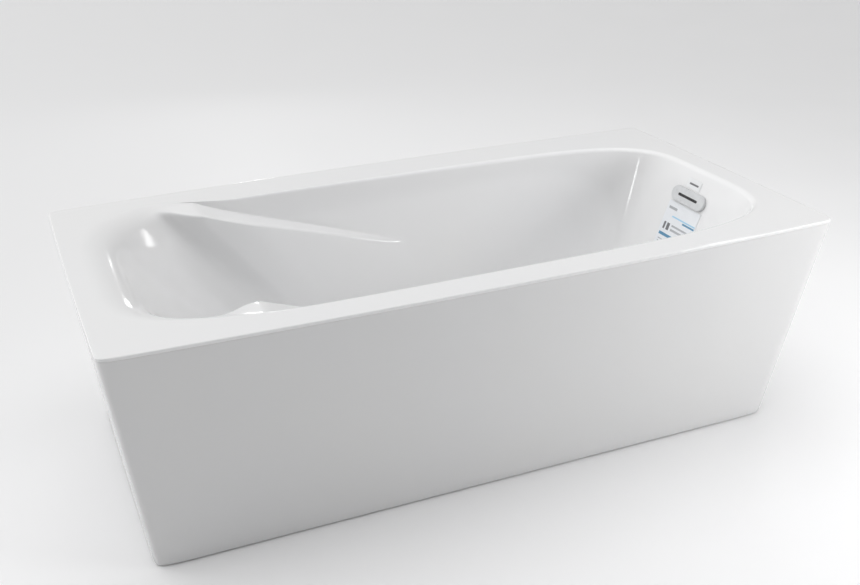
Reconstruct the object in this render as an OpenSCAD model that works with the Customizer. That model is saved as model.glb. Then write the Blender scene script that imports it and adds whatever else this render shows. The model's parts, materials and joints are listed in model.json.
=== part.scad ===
// Freestanding bathtub: an acrylic shell on a bolted steel frame with six levelling feet,
// four tapered panels, a pop-up waste with trap, and an overflow.
// Millimetres. The origin is on the ground under the middle of the tub, +X points to the
// foot (drain) end, -Y to the front and +Z up.

/* [Overall] */
// Length over the rim
tub_l = 1800; // [1500:10:2160]
// Width over the rim
tub_w = 900; // [750:10:1080]
// Height of the rim above the ground
tub_h = 580; // [480:5:700]
// How far the middle of each long side bows out past its ends
side_bow = 16; // [0:1:30]
// How far the middle of each end bows out past its corners
end_bow = 4; // [0:1:12]
// How far the foot of each panel stands in from the rim
panel_taper = 66; // [20:1:90]

/* [Rim] */
// Flat rim width at the head end
rim_head = 40; // [30:1:80]
// Flat rim width at the foot end
rim_foot = 60; // [50:1:100]
// Flat rim width at the front, measured at the middle
rim_front = 74; // [66:1:120]
// Flat rim width at the back, measured at the middle
rim_back = 118; // [66:1:160]
// Height of the turned-down lip around the rim
lip_h = 8; // [7:0.5:16]
// Radius of the rim's outer edge
edge_r = 3; // [1:0.5:4.5]
// Thickness of the shell
shell_t = 5; // [3:0.5:8]

/* [Basin] */
// Height of the basin floor above the ground
floor_z = 150; // [145:1:220]
// Run of the sloping backrest from the rim to the floor
back_run = 480; // [300:5:560]
// Run of the foot wall from the rim to the floor
foot_run = 165; // [100:5:240]
// Run of the front wall from the rim to the floor
front_run = 132; // [90:2:170]
// Run of the back wall from the rim to the floor
rear_run = 112; // [90:2:170]
// Reach of the crisp roll along the sides and the foot end
side_roll = 12; // [8:1:20]
// Reach of the wide soft roll around the head end
head_roll = 30; // [20:1:50]
// Width of the shoulder below the head end's roll
shoulder_w = 50; // [30:1:70]
// Drop of the shoulder
shoulder_drop = 16; // [8:1:30]
// How far the back corner of the head end reaches out past the even outline
head_flare = 90; // [0:5:100]
// Radius reach of the corner between the walls and the floor
floor_roll = 60; // [40:1:80]

/* [Armrest] */
// Width of the armrest ledge where it starts
arm_w = 80; // [30:1:90]
// Distance from the head end to the place where the ledge leaves the rim
arm_start = 355; // [300:5:450]
// Distance from the head end to the ledge's pointed tip
arm_end = 940; // [700:5:1100]
// Drop of the ledge for each millimetre of length
arm_fall = 0.305; // [0.15:0.005:0.35]
// Drop across the ledge
arm_tilt = 9; // [4:1:20]

/* [Panels] */
// Panel thickness
panel_t = 5; // [3:0.5:6]
// Gap between the panels and the ground
floor_gap = 5; // [2:0.5:12]
// Width of the inward return at the panel's foot
panel_return = 18; // [10:1:24]
// Seam between the panels and the lip
seam = 0.4; // [0.2:0.1:1.5]

/* [Frame] */
// Outer width of the steel rails
rail_w = 30; // [25:1:40]
// Wall of the steel tubes
tube_t = 2; // [1.5:0.5:3]
// Distance of the long rails from the middle of the tub
rail_y = 130; // [110:5:150]
// Width of the corner posts
post_w = 20; // [15:1:25]
// Thickness of the board under the basin floor
board_t = 12; // [9:1:15]
// Thickness of the rim battens
batten_t = 18; // [12:1:25]
// Thickness of the rubber pads on the corner posts
post_pad_t = 4; // [2:0.5:8]
// Radius of the bolts that join the rails
bolt_r = 4; // [3:0.5:5]
// Width of a panel bracket
bracket_w = 26; // [18:1:40]
// Height of a panel bracket's upstand
bracket_h = 36; // [24:1:60]
// Sheet thickness of the panel brackets
bracket_t = 2.5; // [1.5:0.5:4]

/* [Feet] */
// Radius of a levelling foot's pad
pad_r = 25; // [18:1:30]
// Radius of the levelling studs
stud_r = 6; // [5:0.5:8]
// Radial clearance of a stud in its rail
stud_clear = 0.05; // [0.02:0.01:0.1]

/* [Waste] */
// Distance of the drain from the foot end
drain_inset = 360; // [300:5:420]
// Distance of the drain and the overflow behind the tub's middle line
waste_y = 4; // [-20:1:20]
// Radius of the drain hole in the shell
drain_hole_r = 26; // [24:0.5:30]
// Radius of the drain flange
flange_r = 36; // [33:0.5:42]
// Outer radius of the outlet pipe
pipe_r = 20; // [16:0.5:25]
// Wall of the plastic fittings
fitting_t = 3; // [2:0.5:4]
// Distance from the drain to the outlet
outlet_reach = 105; // [95:5:130]
// Radial clearance of the plug's stem in its guide
stem_clear = 0.05; // [0.02:0.01:0.1]

/* [Overflow] */
// Depth of the overflow below the rim, down the foot wall
overflow_down = 84; // [60:1:120]
// Length of the overflow plate
plate_l = 143; // [110:1:170]
// Height of the overflow plate
plate_h = 44; // [40:1:60]
// Thickness of the overflow plate
plate_t = 6; // [4:0.5:9]
// Length of the slot in the overflow plate
slot_l = 84; // [60:1:100]
// Height of the slot in the overflow plate
slot_h = 8; // [5:0.5:12]
// Outer radius of the overflow hose
hose_r = 12; // [10:0.5:14]

/* [Labels] */
// Width of the care label
label_w = 138; // [80:1:150]
// Height of the care label
label_h = 150; // [80:1:180]
// Thickness of the labels
label_t = 0.4; // [0.2:0.1:1]

/* [Hidden] */
$fn = 48;
eps = 0.01;

// ---- outlines ----
// Half sizes between the rim's corners, and at the foot of the panels
rim_x = tub_l / 2 - end_bow;
rim_y = tub_w / 2 - side_bow;
base_x = rim_x - panel_taper;
base_y = rim_y - panel_taper;
// Basin outline at the rim and at the floor: [low x, high x, low y, high y]
basin = [-tub_l / 2 + rim_head, tub_l / 2 - rim_foot, -tub_w / 2 + rim_front, tub_w / 2 - rim_back];
well = [basin[0] + back_run, basin[1] - foot_run, basin[2] + front_run, basin[3] - rear_run];
basin_power = 4.5;
well_power = 4.5;
rim_power = 60;
base_power = 40;
depth = tub_h - floor_z;

// Stations go round the unit square, closer together near its corners
side_steps = 26;
end_steps = 16;
function ease(t) = sin(90 * t);
stations = concat(
    [for (i = [0:side_steps - 1]) [ease(2 * i / side_steps - 1), -1]],
    [for (i = [0:end_steps - 1]) [1, ease(2 * i / end_steps - 1)]],
    [for (i = [0:side_steps - 1]) [-ease(2 * i / side_steps - 1), 1]],
    [for (i = [0:end_steps - 1]) [-1, -ease(2 * i / end_steps - 1)]]
);
count = len(stations);

// A point on a superellipse of the given box, in the direction of a station
function on_outline(s, box, power) =
    let (k = pow(pow(abs(s[0]), power) + pow(abs(s[1]), power), -1 / power))
    [(box[0] + box[1]) / 2 + s[0] * k * (box[1] - box[0]) / 2,
     (box[2] + box[3]) / 2 + s[1] * k * (box[3] - box[2]) / 2];

// The tub's outer outline, inset by a distance, with a share of the bow and the taper left
function outer_pt(s, inset, share) =
    let (
        power = base_power + (rim_power - base_power) * share,
        k = pow(pow(abs(s[0]), power) + pow(abs(s[1]), power), -1 / power),
        bx = end_bow * share * (1 - s[1] * s[1]),
        by = side_bow * share * (1 - s[0] * s[0])
    )
    [s[0] * k * (base_x + panel_taper * share + bx - inset),
     s[1] * k * (base_y + panel_taper * share + by - inset)];

// How much of the bow and the taper is left at a height
function share_at(z) = (z - floor_gap) / (tub_h - floor_gap);

function at_z(p, z) = [p[0], p[1], z];
function lerp(a, b, t) = a + (b - a) * t;
function clamp(x, low, high) = min(max(x, low), high);
function smooth(t) = let (c = clamp(t, 0, 1)) c * c * (3 - 2 * c);
function unit(v) = v / norm(v);

// Round a corner with a circular arc that meets both legs at the given reach
function arc(a, p, b, reach, steps) =
    let (
        start = p + unit(a - p) * reach,
        end = p + unit(b - p) * reach,
        half = acos(clamp(unit(p - a) * unit(b - p), -1, 1)) / 2,
        w = cos(half)
    )
    [for (i = [0:steps])
        let (t = i / steps, k = (1 - t) * (1 - t) + 2 * w * t * (1 - t) + t * t)
        (start * (1 - t) * (1 - t) + p * 2 * w * t * (1 - t) + end * t * t) / k];

// ---- the shell's section at a station ----
drain = [tub_l / 2 - drain_inset, waste_y];
arm_head_x = arm_start - tub_l / 2;
arm_tip_x = arm_end - tub_l / 2;
arm_step = 3;
// The soft roll of the head end is whole here
soft_x = basin[0] + 125;
crease_reach = 5;
arm_edge_reach = 8;
shoulder_edge = 25;

// Share of the soft roll at a place along the tub
function softness(x) = smooth((arm_head_x - x) / (arm_head_x - soft_x));

// The basin's edge: an even outline, flared towards the back at the head end
flare = min(head_flare, rim_back - 28);
flare_x = arm_head_x + 115;
flare_run = 280;
function basin_edge(s) =
    let (
        p = on_outline(s, basin, basin_power),
        back = max(0, (2 * p[1] - basin[2] - basin[3]) / (basin[3] - basin[2]))
    )
    p + [0, flare * smooth((flare_x - p[0]) / flare_run) * back * back];

// The section's corners: on the rim, rim edge, ledge's outer and inner creases, floor edge, drain.
// On the sides the ledge is the armrest; at the head end it is the lower edge of the shoulder.
function corners(s) =
    let (
        rim = basin_edge(s),
        low = on_outline(s, well, well_power),
        soft = softness(rim[0]),
        inward = unit(low - rim),
        top = rim + inward * lerp(side_roll, head_roll, soft),
        first = at_z(top, tub_h),
        foot = at_z(low, floor_z),
        run = (low[0] - top[0]) / depth,
        fall = arm_fall * (top[0] - arm_head_x) / (1 - arm_fall * run),
        down = clamp(fall, arm_step, arm_fall * (arm_tip_x - arm_head_x)),
        wall = lerp(top, low, down / depth),
        left = clamp((arm_tip_x - wall[0]) / (arm_tip_x - arm_head_x), 0, 1),
        across = abs(s[1]) == 1 ? [0, -s[1], 0] : [0, 0, 0],
        side_crease = at_z(wall, tub_h - down),
        side_ledge = lerp(side_crease, foot, arm_tilt / (depth - down)) + across * arm_w * left,
        ledge = lerp(side_ledge, at_z(top + inward * shoulder_w, tub_h - shoulder_drop), soft),
        crease = lerp(side_crease, (first + ledge) / 2, soft)
    )
    [at_z(rim - inward * 20, tub_h), first, crease, ledge, foot, at_z(drain, floor_z)];

// The least length left between two arcs, and the least reach of a crease
spare = 0.4;
function section(s) =
    let (
        c = corners(s),
        soft = softness(basin_edge(s)[0]),
        above = norm(c[2] - c[1]),
        below = norm(c[3] - c[2]),
        crease = max(spare, min(crease_reach * (1 - soft), 0.45 * above, 0.45 * below)),
        roll = min(lerp(side_roll, head_roll, soft), above - crease - spare),
        edge = min(lerp(arm_edge_reach, shoulder_edge, soft), below - crease - spare),
        floor_reach = min(floor_roll, 0.6 * norm(c[5] - c[4])),
        to_hole = unit(c[4] - c[5])
    )
    concat(
        arc(c[0], c[1], c[2], roll, 4),
        arc(c[1], c[2], c[3], crease, 1),
        arc(c[2], c[3], c[4], edge, 3),
        [lerp(c[3], c[4], 0.45)],
        arc(c[3], c[4], c[5], floor_reach, 4),
        [c[5] + to_hole * flange_r * 1.4, c[5] + to_hole * drain_hole_r]
    );

sections = [for (s = stations) section(s)];
rings = len(sections[0]);

// The direction out of the basin's surface, away from the bather, at a point of the grid
function outward(i, j) =
    let (
        along = sections[(i + 1) % count][j] - sections[(i + count - 1) % count][j],
        down = sections[i][min(j + 1, rings - 1)] - sections[i][max(j - 1, 0)]
    )
    j == 0 || j >= rings - 3 ? [0, 0, -1] : unit(cross(down, along));

function edge_pt(s, angle) =
    at_z(outer_pt(s, edge_r * (1 - cos(angle)), 1), tub_h - edge_r + edge_r * sin(angle));

// One closed loop of the shell: lip, rim, basin, drain edge, and back under it all
function shell_loop(i) =
    let (s = stations[i], lip_z = tub_h - lip_h)
    concat(
        [at_z(outer_pt(s, 0, share_at(lip_z)), lip_z)],
        [for (angle = [0, 45, 90]) edge_pt(s, angle)],
        sections[i],
        [for (j = [rings - 1:-1:0]) sections[i][j] + outward(i, j) * shell_t],
        [at_z(outer_pt(s, shell_t, share_at(tub_h - shell_t)), tub_h - shell_t),
         at_z(outer_pt(s, shell_t, share_at(lip_z)), lip_z)]
    );

module bath_shell() {
    loops = [for (i = [0:count - 1]) shell_loop(i)];
    n = len(loops[0]);
    faces = [for (i = [0:count - 1], j = [0:n - 1])
        let (i2 = (i + 1) % count, j2 = (j + 1) % n)
        each [[i * n + j, i * n + j2, i2 * n + j2], [i * n + j, i2 * n + j2, i2 * n + j]]];
    color("white")
    difference() {
        polyhedron([for (loop = loops) each loop], faces);
        on_wall(overflow_down)
            cylinder(r = inlet_r + 1, h = 4 * shell_t, center = true);
    }
}

// ---- panels ----
panel_top = tub_h - lip_h - seam;

// A slice of the panels' outline at a height
module outline_slice(inset, z, beyond = 0) {
    translate([0, 0, z])
        linear_extrude(eps)
            polygon([for (s = stations) outer_pt(s, inset, share_at(z + beyond))]);
}

module panel_body(inset, low, high) {
    hull() {
        outline_slice(inset, low);
        outline_slice(inset, high - eps);
    }
}

// The four panels in one ring: a tapered wall with an inward return at its foot
module panel_ring() {
    difference() {
        panel_body(0, floor_gap, panel_top);
        panel_body(panel_t, floor_gap + panel_t, panel_top + 1);
        translate([0, 0, floor_gap - 1])
            linear_extrude(panel_t + 2)
                square([2 * (base_x - panel_return), 2 * (base_y - panel_return)], center = true);
    }
}

// The side panels turn the corners and the end panels stand between them; the joint leans
// with the corner
corner_lap = panel_return + 1;
function joint_y(z) = base_y - corner_lap + panel_taper * share_at(z);

// A prism along X, of the given length, over a polygon of [y, z] points
module along_x(length, points) {
    rotate([90, 0, 90])
        linear_extrude(length)
            polygon(points);
}

module side_panel(side) {
    color("white") intersection() {
        panel_ring();
        translate([-tub_l, 0, 0])
            along_x(2 * tub_l, [[side * joint_y(0), 0], [side * tub_w, 0],
                                [side * tub_w, tub_h], [side * joint_y(tub_h), tub_h]]);
    }
}

module end_panel(side) {
    low = joint_y(0) - seam;
    high = joint_y(tub_h) - seam;
    color("white") intersection() {
        panel_ring();
        translate([side > 0 ? 0 : -tub_l, 0, 0])
            along_x(tub_l, [[-low, 0], [low, 0], [high, tub_h], [-high, tub_h]]);
    }
}

// Inner face of a side panel, or of an end panel, at a place and height
function side_in(x, z) =
    outer_pt([clamp(x / rim_x, -1, 1), 1], panel_t, share_at(z))[1];
function end_in(y, z) =
    outer_pt([1, clamp(y / rim_y, -1, 1)], panel_t, share_at(z))[0];

// ---- supports under the basin and the rim ----
under_z = floor_z - shell_t;
board_z = under_z - board_t;
long_z = board_z - rail_w;
cross_z = long_z - rail_w;
end_rail_x = base_x - panel_return - pad_r - 22;
rail_half_y = base_y - 8;
foot_y = base_y - panel_return - pad_r - 10;
cross_xs = [-end_rail_x, 0, end_rail_x];
foot_places = [for (x = cross_xs, side = [-1, 1]) [x, side * foot_y]];
bolt_places = [for (x = cross_xs, side = [-1, 1]) [x, side * rail_y]];
under_rim = tub_h - shell_t;
waste_r = drain_hole_r + 12;

module base_board() {
    margin = floor_roll + 4;
    low = [well[0] + margin, well[2] + margin];
    high = [well[1] - margin, well[3] - margin];
    corner = 30;
    color("burlywood")
    translate([0, 0, board_z])
    difference() {
        linear_extrude(board_t)
            difference() {
                translate(low)
                    square(high - low);
                for (x = [low[0], high[0]], y = [low[1], high[1]])
                    translate([x, y])
                        rotate(45)
                            square(corner * sqrt(2), center = true);
            }
        translate([drain[0], drain[1], -1])
            cylinder(r = waste_r + 4, h = board_t + 2);
    }
}

batten_gap = 6;
batten_back_w = 34;
batten_front_w = 30;
batten_end_w = 22;
batten_x = end_rail_x - 60;
batten_y = rim_y - 130;

module batten(low, high) {
    color("burlywood")
    translate([low[0], low[1], under_rim - batten_t])
        cube([high[0] - low[0], high[1] - low[1], batten_t]);
}

// Inner face of the lip where a side or end batten stops
lip_in_y = outer_pt([batten_x / rim_x, 1], shell_t, 0.96)[1];
lip_in_x = outer_pt([1, batten_y / rim_y], shell_t, 0.96)[0];

module rim_batten_front() {
    batten([-batten_x, -lip_in_y + batten_gap], [batten_x, -lip_in_y + batten_gap + batten_front_w]);
}

module rim_batten_back() {
    batten([-batten_x, lip_in_y - batten_gap - batten_back_w], [batten_x, lip_in_y - batten_gap]);
}

module rim_batten_head() {
    batten([-lip_in_x + 2, -batten_y], [-lip_in_x + 2 + batten_end_w, batten_y]);
}

module rim_batten_foot() {
    batten([lip_in_x - batten_gap - batten_end_w, -batten_y], [lip_in_x - batten_gap, batten_y]);
}

// A square tube from the origin along +X
module tube_x(length, width, wall) {
    translate([0, -width / 2, 0])
    difference() {
        cube([length, width, width]);
        translate([-1, wall, wall])
            cube([length + 2, width - 2 * wall, width - 2 * wall]);
    }
}

bolt_clear = 0.3;
screw_r = 2.5;
screw_clear = 0.2;
screw_in = 12;
long_rail_x = end_rail_x + rail_w / 2;

module holes(places, r, z, h) {
    for (p = places)
        translate([p[0], p[1], z])
            cylinder(r = r, h = h);
}

// Long rails run on the cross rails, under the board
module long_rail(side) {
    color("gainsboro")
    difference() {
        translate([-long_rail_x, side * rail_y, long_z])
            tube_x(2 * long_rail_x, rail_w, tube_t);
        holes(bolt_places, bolt_r + bolt_clear, long_z - 1, rail_w + 2);
        holes(end_screws, screw_r + screw_clear, long_z + rail_w / 2, rail_w);
    }
}

// Cross rails carry the feet at their ends
module cross_rail(x) {
    color("gainsboro")
    difference() {
        translate([x, -rail_half_y, cross_z])
            rotate([0, 0, 90])
                tube_x(2 * rail_half_y, rail_w, tube_t);
        holes(bolt_places, bolt_r + bolt_clear, cross_z - 1, rail_w + 2);
        holes(foot_places, stud_r + stud_clear, cross_z - 1, rail_w + 2);
        holes(side_screws, screw_r + screw_clear, cross_z + rail_w / 2, rail_w);
    }
}

post_y = rail_half_y - post_w / 2;
post_top = under_rim - post_pad_t;
post_places = [for (x = [-end_rail_x, end_rail_x], side = [-1, 1]) [x, side * post_y]];

// Corner posts stand on the end rails and carry the rim
module corner_post(p) {
    color("gainsboro")
    translate([p[0] - post_w / 2, p[1] - post_w / 2, cross_z + rail_w])
    difference() {
        cube([post_w, post_w, post_top - cross_z - rail_w]);
        translate([tube_t, tube_t, -1])
            cube([post_w - 2 * tube_t, post_w - 2 * tube_t, tub_h]);
    }
}

module post_pads() {
    color("dimgray")
    for (p = post_places)
        translate([p[0] - post_w / 2, p[1] - post_w / 2, post_top])
            cube([post_w, post_w, post_pad_t]);
}

head_h = 5;

// Carriage bolts: flat heads under the cross rail, nuts on the long rail's floor
module rail_bolts() {
    color("silver")
    for (p = bolt_places)
        translate([p[0], p[1], cross_z]) {
            translate([0, 0, -head_h])
                cylinder(r = 1.8 * bolt_r, h = head_h, $fn = 6);
            translate([0, 0, -eps])
                cylinder(r = bolt_r, h = rail_w + tube_t + 14);
        }
}

module rail_nuts() {
    color("silver")
    for (p = bolt_places)
        translate([p[0], p[1], long_z + tube_t])
        difference() {
            cylinder(r = 1.8 * bolt_r, h = head_h + 1.5, $fn = 6);
            translate([0, 0, -1])
                cylinder(r = bolt_r, h = head_h + 4);
        }
}

// ---- panel brackets ----
// Each bracket lies on a rail end and turns up against the panel
side_bracket_z = cross_z + rail_w;
end_bracket_z = long_z + rail_w;
bracket_back = 34;
side_screws = [for (x = [0], side = [-1, 1]) [x, side * (rail_half_y - screw_in)]];
end_screws = [for (end = [-1, 1], side = [-1, 1])
    [end * (long_rail_x - screw_in), side * rail_y]];
bracket_gap = 0.3;

// A bracket that reaches along +X to a face which leans out by lean per millimetre of height
module bracket(reach, lean, hole) {
    out = reach + lean * bracket_h;
    difference() {
        translate([0, bracket_w / 2, 0])
            rotate([90, 0, 0])
                linear_extrude(bracket_w)
                    polygon([[0, 0], [reach, 0], [out, bracket_h], [out - bracket_t, bracket_h],
                             [reach - bracket_t, bracket_t], [0, bracket_t]]);
        translate([hole, 0, -1])
            cylinder(r = screw_r + screw_clear, h = bracket_t + 2);
    }
}

module panel_brackets() {
    side_face = side_in(0, side_bracket_z) - bracket_gap;
    side_lean = (side_in(0, side_bracket_z + bracket_h) - side_in(0, side_bracket_z)) / bracket_h;
    side_from = rail_half_y - bracket_back;
    end_face = end_in(rail_y, end_bracket_z) - bracket_gap;
    end_lean = (end_in(rail_y, end_bracket_z + bracket_h) - end_in(rail_y, end_bracket_z)) / bracket_h;
    end_from = long_rail_x - bracket_back;
    color("silver") {
        for (side = [-1, 1])
            rotate([0, 0, side * 90])
                translate([side_from, 0, side_bracket_z])
                    bracket(side_face - side_from, side_lean, bracket_back - screw_in);
        for (end = [0, 180], side = [-1, 1])
            rotate([0, 0, end])
                translate([end_from, side * rail_y, end_bracket_z])
                    bracket(end_face - end_from, end_lean, bracket_back - screw_in);
    }
}

module pan_screw(z) {
    translate([0, 0, z])
        cylinder(r1 = 2 * screw_r, r2 = 1.4 * screw_r, h = screw_r, $fn = 24);
    translate([0, 0, z - bracket_t - 8])
        cylinder(r = screw_r, h = bracket_t + 8 + eps);
}

module bracket_screws() {
    color("silver") {
        for (p = side_screws)
            translate([p[0], p[1], 0])
                pan_screw(side_bracket_z + bracket_t);
        for (p = end_screws)
            translate([p[0], p[1], 0])
                pan_screw(end_bracket_z + bracket_t);
    }
}

// ---- levelling feet ----
pad_h = 8;
hub_r = stud_r + 5;
hub_top = 18;
stud_low = 4;
stud_top = cross_z + rail_w + 14;
nut_h = 8;

module foot_pad(p) {
    color("dimgray")
    translate([p[0], p[1], 0])
        rotate_extrude()
            polygon([[0, 0], [pad_r, 0], [pad_r, pad_h - 2], [pad_r - 2, pad_h],
                     [hub_r + 2, pad_h + 2], [hub_r, hub_top], [stud_r, hub_top],
                     [stud_r, stud_low], [0, stud_low]]);
}

module foot_stud(p) {
    color("silver")
    translate([p[0], p[1], 0])
        rotate_extrude()
            polygon([[0, stud_low], [stud_r, stud_low], [stud_r, stud_top - 1],
                     [stud_r - 1, stud_top], [0, stud_top]]);
}

module foot_lock_nuts() {
    color("silver")
    for (p = foot_places)
        translate([p[0], p[1], cross_z - nut_h])
        difference() {
            cylinder(r = 1.8 * stud_r, h = nut_h, $fn = 6);
            translate([0, 0, -1])
                cylinder(r = stud_r + stud_clear, h = nut_h + 2);
        }
}

// ---- waste ----
gasket_t = 1.5;
flange_t = 2.5;
flange_tube_r = 22;
flange_bore_r = 18;
flange_low = under_z - 26;
stem_r = 4;
stem_low = flange_low - 4;
hub_h = 10;
cap_r = flange_bore_r + 11;
cap_lift = 1.2;
flange_top = floor_z + gasket_t + flange_t;

module at_drain() {
    translate([drain[0], drain[1], 0]) children();
}

module ring_of(outer, inner, low, high) {
    translate([0, 0, low])
    difference() {
        cylinder(r = outer, h = high - low);
        translate([0, 0, -1])
            cylinder(r = inner, h = high - low + 2);
    }
}

// Flange with a threaded tube and a three-armed guide for the plug's stem
module drain_flange() {
    color("silver")
    at_drain() {
        rotate_extrude()
            polygon([[flange_bore_r, flange_low], [flange_tube_r, flange_low],
                     [flange_tube_r, floor_z + gasket_t], [flange_r, floor_z + gasket_t],
                     [flange_r, flange_top - 1.5], [flange_r - 1.5, flange_top],
                     [flange_bore_r + 2, flange_top], [flange_bore_r, flange_top - 2]]);
        translate([0, 0, flange_low + 2])
        difference() {
            union() {
                cylinder(r = stem_r + 3, h = hub_h);
                for (angle = [0:120:240])
                    rotate([0, 0, angle])
                        translate([0, -1.25, 0])
                            cube([flange_bore_r + 1, 2.5, hub_h]);
            }
            translate([0, 0, -1])
                cylinder(r = stem_r + stem_clear, h = hub_h + 2);
        }
    }
}

// Domed cap on a stem; it is down, on its flange, at rest
module drain_plug() {
    cap_z = flange_top + cap_lift;
    color("silver")
    at_drain()
        rotate_extrude()
            polygon(concat(
                [[0, stem_low], [stem_r, stem_low], [stem_r, cap_z], [cap_r - 2, cap_z],
                 [cap_r, cap_z + 1.5]],
                [for (t = [0.2:0.2:1]) [cap_r * cos(90 * t), cap_z + 1.5 + 5 * sin(90 * t)]]
            ));
}

module drain_gasket_upper() {
    color("dimgray") at_drain() ring_of(flange_r - 1, drain_hole_r - 1, floor_z, floor_z + gasket_t);
}

module drain_gasket_lower() {
    color("dimgray")
        at_drain() ring_of(waste_r - 1, flange_tube_r + 0.5, under_z - 2 * gasket_t, under_z);
}

body_top = under_z - 2 * gasket_t;
body_low = body_top - 42;
tail_r = pipe_r;
tail_low = 42;
port_r = hose_r - 3;
port_z = body_low + 17;
port_x = waste_r + 22;

// Cup that screws up on the flange's tube, with the hose port on its side
module waste_body() {
    color("whitesmoke")
    at_drain()
    difference() {
        union() {
            translate([0, 0, body_low])
                cylinder(r = waste_r - 4, h = body_top - body_low);
            translate([0, 0, body_top - 6])
                cylinder(r = waste_r, h = 6);
            translate([0, 0, tail_low])
                cylinder(r = tail_r, h = body_low - tail_low + 1);
            translate([0, 0, port_z])
                rotate([0, 90, 0])
                    cylinder(r = port_r, h = port_x);
        }
        translate([0, 0, flange_low - 8])
            cylinder(r = flange_tube_r, h = body_top - flange_low + 9);
        translate([0, 0, tail_low - 1])
            cylinder(r = tail_r - fitting_t, h = body_top - tail_low);
        translate([0, 0, port_z])
            rotate([0, 90, 0])
                cylinder(r = port_r - 2, h = port_x + 1);
    }
}

cup_r = 44;
cup_low = 18;
cup_top = 84;
trap_nut_h = 12;

// Low bottle trap around the tail
module trap_cup() {
    color("whitesmoke")
    difference() {
        union() {
            at_drain() {
                translate([0, 0, cup_low])
                    cylinder(r = cup_r, h = cup_top - cup_low);
            }
            translate([drain[0], drain[1], outlet_z])
                rotate([0, 90, 0])
                    cylinder(r = outlet_socket_r, h = cup_r + 14);
        }
        at_drain() {
            translate([0, 0, cup_low + fitting_t])
                cylinder(r = cup_r - fitting_t, h = cup_top - cup_low - 2 * fitting_t);
            translate([0, 0, cup_top - fitting_t - 1])
                cylinder(r = tail_r, h = fitting_t + 2);
        }
        translate([drain[0], drain[1], outlet_z])
            rotate([0, 90, 0])
                cylinder(r = pipe_r, h = cup_r + 15);
    }
}

module trap_nut() {
    color("whitesmoke") at_drain() ring_of(tail_r + 8, tail_r, cup_top, cup_top + trap_nut_h);
}

outlet_z = 56;
outlet_socket_r = pipe_r + fitting_t;
outlet_low = 6;
bend_r = pipe_r + 4;

// Pipe out of the trap that turns down to the floor waste
module trap_outlet() {
    start = cup_r + 2;
    bend_x = outlet_reach - bend_r;
    color("whitesmoke")
    translate([drain[0], drain[1], outlet_z]) {
        translate([start, 0, 0])
            rotate([0, 90, 0])
                ring_of(pipe_r, pipe_r - fitting_t, 0, bend_x - start);
        translate([bend_x, 0, -bend_r])
            rotate([90, 0, 0])
                rotate_extrude(angle = 90)
                    translate([bend_r, 0])
                        difference() {
                            circle(r = pipe_r);
                            circle(r = pipe_r - fitting_t);
                        }
        translate([outlet_reach, 0, 0])
            ring_of(pipe_r, pipe_r - fitting_t, outlet_low - outlet_z, -bend_r);
    }
}

// ---- overflow ----
wall_top_x = basin[1] - side_roll;
wall_lean = atan((wall_top_x - well[1]) / depth);
inlet_r = 17;

// Local frame on the foot wall, a distance down from the rim: +X up the wall, +Z into the basin
module on_wall(down) {
    translate([wall_top_x - down * sin(wall_lean), waste_y, tub_h - down * cos(wall_lean)])
        rotate([0, wall_lean - 90, 0])
            children();
}

module stadium(length, height) {
    union() {
        square([height, length - height], center = true);
        for (side = [-1, 1])
            translate([0, side * (length - height) / 2])
                circle(d = height);
    }
}

// The plate stands off the wall, which curves a little behind its ends
plate_gap = 1.6;

// Pill-shaped plate with a slot, hollow behind
module overflow_faceplate() {
    skin = 2;
    color("silver")
    on_wall(overflow_down)
    translate([0, 0, plate_gap])
    difference() {
        union() {
            linear_extrude(plate_t - 1.5)
                stadium(plate_l, plate_h);
            linear_extrude(plate_t - 0.6)
                stadium(plate_l - 1.6, plate_h - 1.6);
            linear_extrude(plate_t)
                stadium(plate_l - 4, plate_h - 4);
        }
        translate([0, 0, -1])
            linear_extrude(plate_t - skin + 1)
                stadium(plate_l - 2 * skin, plate_h - 2 * skin);
        translate([0, 0, -1])
            linear_extrude(plate_t + 2)
                stadium(slot_l, slot_h);
    }
}

// Ribbed tube behind the plate, through the shell
module overflow_inlet() {
    color("whitesmoke")
    on_wall(overflow_down)
    rotate_extrude()
        polygon([[inlet_r - 3, -34], [inlet_r, -34], [inlet_r, 0.4], [inlet_r + 3, 0.4],
                 [inlet_r + 3, 2], [inlet_r - 3, 2]]);
}

elbow_r = inlet_r + 11;
elbow_deep = 36;
elbow_face = -shell_t - 2 - 1;

module overflow_gasket() {
    color("dimgray") on_wall(overflow_down) ring_of(elbow_r, inlet_r + 1, elbow_face, -shell_t - 0.8);
}

// Where the hose leaves the elbow, under its middle
elbow_mid = 26;
hose_top_x = wall_top_x - overflow_down * sin(wall_lean) + elbow_mid * cos(wall_lean);
hose_top_z = tub_h - overflow_down * cos(wall_lean) - elbow_mid * sin(wall_lean);
spigot_low = hose_top_z - 52;

module overflow_elbow() {
    color("whitesmoke")
    difference() {
        union() {
            on_wall(overflow_down)
                translate([0, 0, -elbow_deep - 4])
                    cylinder(r = elbow_r, h = elbow_deep + 4 + elbow_face);
            translate([hose_top_x, waste_y, spigot_low])
                cylinder(r = port_r, h = hose_top_z - spigot_low);
        }
        on_wall(overflow_down)
            translate([0, 0, -elbow_deep])
                cylinder(r = inlet_r, h = elbow_deep + 1);
        translate([hose_top_x, waste_y, spigot_low - 1])
            cylinder(r = port_r - 2, h = hose_top_z - spigot_low);
    }
}

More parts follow.
